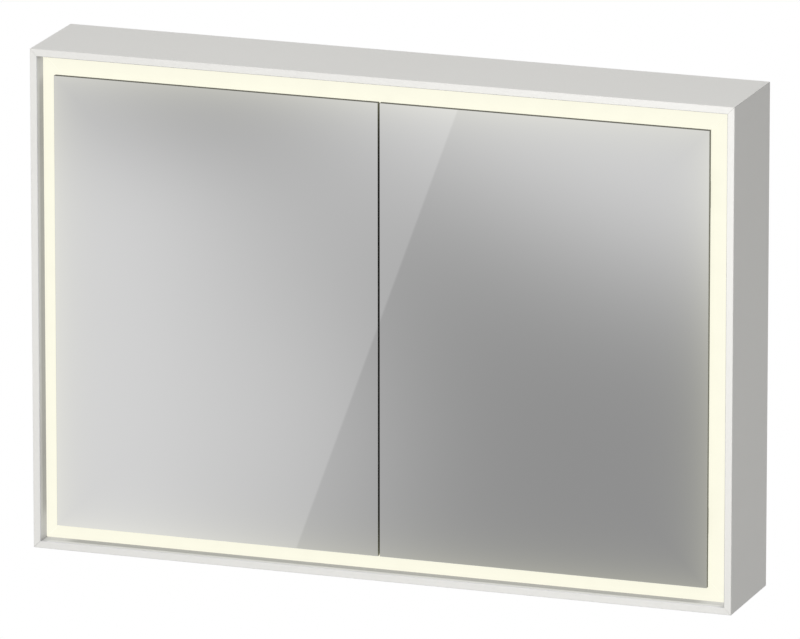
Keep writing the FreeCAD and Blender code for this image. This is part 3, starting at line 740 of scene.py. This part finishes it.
        # The opposite of the mirrors' tint, so that the wall looks grey in them.
        tint = [1 / c for c in silver]
        shine = add(tree, "ShaderNodeEmission", {"Color": tint, "Strength": level})
        add(tree, "ShaderNodeOutputMaterial", {"Surface": shine})
        return material

    def make_reflected_wall(self, scene, stage):
        """A wall in front of the cabinet, which shows only in the mirrors and through the shelves."""
        material = self.wall_light(scene.cabinet_finish.silver)
        # It is laid out on the mirrors' front, then moved out along the reflected lines of sight.
        left, right, low, high = -2.5, 2.5, -0.75, 2.5
        corners = [(left, 0, low), (right, 0, low), (right, 0, high), (left, 0, high)]
        wall = self.keep_stage(scene, "reflected_wall", corners, material)
        distance = 2.4
        spread = distance / (FRONT_Y - stage.eye[1])
        wall.scale = (1 + spread,) * 3
        wall.location = (-stage.eye[0] * spread, FRONT_Y - distance, -stage.eye[2] * spread)
        for ray in ("camera", "diffuse", "shadow", "volume_scatter"):
            setattr(wall, f"visible_{ray}", False)

    def make_lamps(self, scene, stage):
        """A large lamp in front and above, a small one by the right end, and one behind."""
        softbox = bpy.data.lights.new("front_softbox", "AREA")
        softbox.shape = "RECTANGLE"
        softbox.size, softbox.size_y = 4.0, 3.0
        softbox.energy = stage.key
        corner = bpy.data.lights.new("corner_lamp", "POINT")
        corner.shadow_soft_size = 0.12
        corner.energy = stage.fill
        # The lamp behind is as large as the cabinet and has a narrow beam, to light its back alone.
        behind = bpy.data.lights.new("back_softbox", "AREA")
        behind.shape = "RECTANGLE"
        behind.size, behind.size_y = 2 * HALF_WIDTH, 2 * HALF_HEIGHT
        behind.spread = math.radians(45)
        behind.energy = stage.back
        for light, place in (
            (softbox, Vector((0.25, -5.05, 3.2))),
            (corner, Vector((HALF_WIDTH, FRONT_Y - 0.7, HALF_HEIGHT - 0.12))),
            (behind, Vector((0, 5, 0))),
        ):
            lamp = bpy.data.objects.new(light.name, light)
            lamp.location = place
            lamp.rotation_euler = (-place).to_track_quat("-Z", "Y").to_euler()
            lamp.visible_camera = lamp.visible_glossy = False
            scene.collection.objects.link(lamp)


class CABINET_OT_casing(bpy.types.Operator):
    """Casing bars, corner keys, back panel and its fixings"""

    bl_idname = "cabinet.casing"
    bl_label = "Casing"

    def execute(self, context):
        self.dress_bars(context.scene.cabinet_finish)
        # Mill finish: the pale soft grey of bare extruded aluminium.
        dress("corner_keys", metal("mill_finish_aluminium", "#C4C5C6", rough=0.4, grain_mm=1.5))
        # Coil-coated sheet: flat pale grey with a light grain.
        dress("back_panel", moulded("coil_coated_back_sheet", "#D9DAD8", rough=0.55, grain_mm=2))
        self.make_screws("back_sheet_screws", "back_screws", 8)
        self.make_screws("carcass_board_screws", "carcass_screws", 23)
        self.make_grommet()
        return {"FINISHED"}

    def dress_bars(self, finish):
        """White bars, with painted shade on the satin wall beside the light and on the lip's inner
        edges.
        """
        coat = powder_coat("powder_coated_aluminium_white", finish.casing)
        mitre = powder_coat("powder_coated_aluminium_mitre", finish.casing, cut=True)
        # Painted shade: the lip's inner edges on the top and right bars face away from the light and
        # are painted darker. On the left and bottom bars they take the wall's painted shade.
        arris = powder_coat("painted_shade_lip_edge", toned(finish.casing, 0.55))
        # Lit and shaded copies of one coat: the level walls are painted lighter than the upright ones,
        # as they face the lamp above.
        upright = painted_shade_trough_coat(
            finish, "painted_shade_upright_trough_wall", lit=0.91, shaded_to=0.63, end_shade=0.25
        )
        level = painted_shade_trough_coat(
            finish, "painted_shade_level_trough_wall", lit=1.02, shaded_to=0.54, end_shade=0.45
        )
        for side in RING:
            wall = upright if side in SIDES else level
            bevel = arris if side in ("top", "right") else wall
            dress(f"frame_{side}", coat, wall, bevel, mitre, choose=self.bar_face)

    def bar_face(self, face):
        """Mitre cuts look 45 degrees sideways. The lip's bevel and the wall look at the middle."""
        normal, middle = face.normal, face.center
        if min(abs(normal.x), abs(normal.z)) > 0.6:
            return MITRE
        band_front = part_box("diffuser_top")[0].y
        inward = Vector((normal.x, 0, normal.z)).dot(middle) < 0 and abs(normal.y) < 0.8
        across = 2 if abs(normal.z) > 0.5 else 0
        inset = CAD_BOX[1][across] - abs(middle[across])
        if not inward or middle.y > band_front or inset < LIP - MM:
            return COAT
        return BEVEL if normal.y < -0.5 else WALL

    def make_screws(self, name, node, length):
        """Screws of this length in mm with a flat head and a cross recess."""
        # Heights from the top of the head, and the outlines there.
        rings = (
            (-length, circle(0.4)),
            (1.2 - length, circle(2)),
            (-1.5, circle(2)),
            (-1.5, circle(3.5)),
            (-0.3, circle(3.5)),
            (0, circle(3.2)),
            (0, cross(2.1, 0.5)),
            (-1.1, cross(1.3, 0.35)),
        )
        turned_parts(name, node, BACKWARD, rings, zinc_plate())

    def make_grommet(self):
        """A ring with a groove for the sheet and rounded rims."""
        # Moulded rubber: dull black that hardly shines.
        rubber = moulded("black_rubber", "#1C1C1C", rough=0.7, grain_mm=1.5)
        # Heights from the top and radii in mm, all round the section.
        outline = (
            (-5.5, 5.0),
            (-5.5, 12.5),
            (-5.0, 13.0),
            (-4.0, 13.0),
            (-4.0, 9.95),
            (-0.7, 9.95),
            (0.0, 9.2),
            (0.0, 5.3),
            (-0.7, 4.5),
            (-5.0, 4.5),
        )
        rings = [(height, circle(radius, WIDE_ROUND)) for height, radius in outline]
        turned_parts(
            "cable_grommet_ring", "cable_grommet", BACKWARD, rings, rubber, closed=True
        )


class CABINET_OT_light_band(bpy.types.Operator):
    """Opal strips, light trays, LED strips and the electrics"""

    bl_idname = "cabinet.light_band"
    bl_label = "Light band"

    def execute(self, context):
        opal = opal_acrylic(context.scene.cabinet_finish)
        # Satin white coat, which sends the light forward.
        tray = moulded("white_coated_tray", "#E9E9E6", rough=0.5, grain_mm=2)
        # White solder mask, and the yellow phosphor of each chip on it.
        board = moulded("led_circuit_strip", "#F0EFE6", rough=0.45, grain_mm=1)
        phosphor = moulded("led_phosphor", "#E8D27A", rough=0.4, grain_mm=1)
        for side in RING:
            dress(f"diffuser_{side}", opal)
            dress(f"light_tray_{side}", tray)
            # The chips stand 0.8 mm out of the board, so their faces are the ones nearest the front.
            chip_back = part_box(f"led_strip_{side}")[0].y + 0.7 * MM
            dress(f"led_strip_{side}", board, phosphor, choose=lambda face: face.center.y < chip_back)
        # Soft vinyl sheath, moulded case and nylon block: plain greys with a dull shine.
        sheath = moulded("vinyl_lead_sheath", "#DCDCD8", rough=0.5, grain_mm=1)
        for name in ("strip_jumpers", "driver_lead", "led_lead"):
            dress(name, sheath)
        dress("led_driver", moulded("abs_driver_case", "#E4E4E2", rough=0.5, grain_mm=2))
        dress("terminal_block", moulded("nylon_terminal_block", "#9B9DA0", rough=0.55, grain_mm=2))
        return {"FINISHED"}


class CABINET_OT_doors(bpy.types.Operator):
    """Mirror panes of the doors and their strike discs"""

    bl_idname = "cabinet.doors"
    bl_label = "Doors"

    def execute(self, context):
        finish = context.scene.cabinet_finish
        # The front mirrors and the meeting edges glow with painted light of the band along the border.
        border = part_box("door_right_mirror")[1]
        front = silvered_glass(finish, "silvered_float_glass_front_painted_glow", border)
        plain = silvered_glass(finish, "silvered_float_glass")
        # The darker edges are painted shade on the top and meeting edges. The meeting edges carry the
        # painted glow too.
        edges = (
            ground_edge(finish, "ground_glass_edge", finish.edge),
            ground_edge(finish, "painted_shade_glass_edge", finish.shaded_edge),
            ground_edge(finish, "painted_shade_glass_meeting_edge_with_glow", finish.shaded_edge, border),
        )
        # Ground steel: bright grey with a close grain.
        steel = metal("bright_ground_steel", "#C9CACB", rough=0.25, grain_mm=1.0)
        for side in SIDES:
            for node, silver, way in (("mirror", front, FORWARD), ("inner_mirror", plain, BACKWARD)):
                glass_pane(
                    f"{side}_door_{node}_pane",
                    f"door_{side}_{node}",
                    (silver, *edges),
                    f"{side}_door",
                    finish.arris,
                    lambda normal, middle: self.door_face(normal, middle, way),
                )
            dress(f"strike_discs_{side}", steel)
        return {"FINISHED"}

    def door_face(self, normal, middle, way):
        """Edges in painted shade on top and where the doors meet, silver on faces that look that way.
        """
        if normal.z > 0.3:
            return SHADED_EDGE
        if abs(middle.x) < 3 * MM and abs(normal.x) > 0.8:
            return SHADED_MEETING_EDGE
        return SILVER if normal.dot(way) > 0.2 else EDGE


class CABINET_OT_carcass(bpy.types.Operator):
    """Boards, divider, mirrored backs, gap seal, catches and bumpers"""

    bl_idname = "cabinet.carcass"
    bl_label = "Carcass"

    def execute(self, context):
        finish = context.scene.cabinet_finish
        paint = lacquer(finish)
        for side in RING:
            dress(f"carcass_{side}", paint)
        dress("centre_divider", paint)
        silver = silvered_glass(finish, "silvered_float_glass")
        edge = ground_edge(finish, "ground_glass_edge", finish.edge)
        for side in SIDES:
            dress(f"mirror_back_{side}", silver, edge, choose=lambda face: face.normal.y > -0.9)
        self.make_seal()
        # Nickel plate: warm grey with a clear shine.
        nickel = metal("nickel_plated_magnet", "#A9A9A8", rough=0.3, grain_mm=1.0)
        # Heights from the top and radii in mm, of the cups and then of the domes.
        cup = ((-14.4, 3.6), (-14.0, 4.0), (-0.4, 4.0), (0, 3.6), (0, 3.0), (-0.4, 2.8))
        rings = [(height, circle(radius, ROUND)) for height, radius in cup]
        turned_parts("magnet_cups", "catch_magnets", FORWARD, rings, nickel)
        # Cast silicone: milky and a little shiny.
        silicone = moulded("clear_silicone", "#D4D8D8", rough=0.35, grain_mm=2, ior=SILICONE_IOR)
        dome = ((-2.2, 4.0), (-1.2, 4.0), (-0.6, 3.6), (-0.2, 2.7), (0, 1.3))
        rings = [(height, circle(radius, ROUND)) for height, radius in dome]
        turned_parts("bumper_domes", "door_bumpers", FORWARD, rings, silicone)
        return {"FINISHED"}

    def make_seal(self):
        """A bulb seal: flat at the back, rounded where the doors meet it."""
        low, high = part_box("gap_seal")
        half, thick = (high.x - low.x) / 2 / MM, (high.y - low.y) / MM
        # The bulge rises in 12 steps from an edge 0.5 mm thick.
        edge, steps = 0.5, 12
        bulge = [math.pi * i / steps for i in range(steps + 1)]
        ring = [(half * math.cos(a), -edge - (thick - edge) * math.sin(a)) for a in bulge]
        ring += [(-half, 0), (half, 0)]
        shape = bmesh.new()
        top = Vector(((low.x + high.x) / 2, high.y, high.z))
        loft(shape, top, UPWARD, [((low.z - high.z) / MM, ring), (0, ring)])
        # Extruded rubber: deep black with no shine.
        rubber = moulded("black_rubber_seal", "#121212", rough=0.8, grain_mm=1.5)
        keep_mesh(shape, "gap_bulb_seal", (rubber,), "cabinet", "gap_seal")


class CABINET_OT_shelves(bpy.types.Operator):
    """Glass shelves on their pins"""

    bl_idname = "cabinet.shelves"
    bl_label = "Shelves"

    def execute(self, context):
        glass = clear_glass(), green_edge()
        arris = context.scene.cabinet_finish.arris
        for side in SIDES:
            for end in ENDS:
                node = f"shelf_{side}_{end}"
                glass_pane(
                    f"{node}_pane",
                    node,
                    glass,
                    "cabinet",
                    arris,
                    lambda normal, middle: int(abs(normal.z) < 0.5),
                )
        # Nickel plate: warm grey with a clear shine.
        dress("shelf_pins", metal("nickel_plated_pin", "#B5B4B0", rough=0.25, grain_mm=1.0))
        return {"FINISHED"}


class CABINET_OT_hinges(bpy.types.Operator):
    """Hinge leaves, pins and screws"""

    bl_idname = "cabinet.hinges"
    bl_label = "Hinges"

    def execute(self, context):
        # Nickel plate: warm grey with a clear shine.
        nickel = metal("nickel_plated_hinge", "#B2B1AC", rough=0.3, grain_mm=0.8)
        for side in SIDES:
            for end in ENDS:
                for leaf in ("cabinet", "door"):
                    dress(f"hinge_{side}_{end}_{leaf}_leaf", nickel)
        self.make_pins(nickel)
        self.make_screws()
        return {"FINISHED"}

    def make_pins(self, nickel):
        """Pins with a rounded head at each end."""
        # Heights from the top and radii in mm.
        pin = (
            (-38.4, 1.4),
            (-38.1, 2.2),
            (-37.7, 2.6),
            (-37.2, 2.6),
            (-37.2, 1.5),
            (-1.2, 1.5),
            (-1.2, 2.6),
            (-0.7, 2.6),
            (-0.3, 2.2),
            (0, 1.4),
        )
        rings = [(height, circle(radius, ROUND)) for height, radius in pin]
        turned_parts("hinge_pin_rods", "hinge_pins", UPWARD, rings, nickel)

    def make_screws(self):
        """Screws with a rounded head and a cross recess."""
        # Heights from the top of the head, and the outlines there.
        rings = (
            (-11.6, circle(0.4)),
            (-10.4, circle(1.5)),
            (-1.6, circle(1.5)),
            (-1.6, circle(3.0)),
            (-0.8, circle(3.0)),
            (-0.25, circle(2.6)),
            (0, circle(2.0)),
            (0, cross(1.5, 0.38)),
            (-0.9, cross(1.0, 0.3)),
        )
        turned_parts("hinge_pan_screws", "hinge_screws", None, rings, zinc_plate())


PIECES = (
    CABINET_OT_stage,
    CABINET_OT_casing,
    CABINET_OT_light_band,
    CABINET_OT_doors,
    CABINET_OT_carcass,
    CABINET_OT_shelves,
    CABINET_OT_hinges,
)


class CABINET_PT_panel(bpy.types.Panel):
    """Lists the cabinet's pieces in the sidebar"""

    bl_idname = "CABINET_PT_panel"
    bl_label = "Mirror cabinet"
    bl_space_type = "VIEW_3D"
    bl_region_type = "UI"
    bl_category = "Cabinet"

    def draw(self, context):
        for group in (context.scene.cabinet_finish, context.scene.cabinet_stage):
            for name in group.__annotations__:
                self.layout.prop(group, name)
        for piece in PIECES:
            self.layout.operator(piece.bl_idname)


CLASSES = (CabinetFinish, CabinetStage, *PIECES, CABINET_PT_panel)


def register():
    for item in CLASSES:
        bpy.utils.register_class(item)
    bpy.types.Scene.cabinet_finish = PointerProperty(type=CabinetFinish)
    bpy.types.Scene.cabinet_stage = PointerProperty(type=CabinetStage)


def unregister():
    del bpy.types.Scene.cabinet_stage
    del bpy.types.Scene.cabinet_finish
    for item in reversed(CLASSES):
        bpy.utils.unregister_class(item)


def main():
    register()
    bpy.ops.cabinet.stage()
    bpy.ops.cabinet.casing()
    bpy.ops.cabinet.light_band()
    bpy.ops.cabinet.doors()
    bpy.ops.cabinet.carcass()
    bpy.ops.cabinet.shelves()
    bpy.ops.cabinet.hinges()


if __name__ == "__main__":
    main()
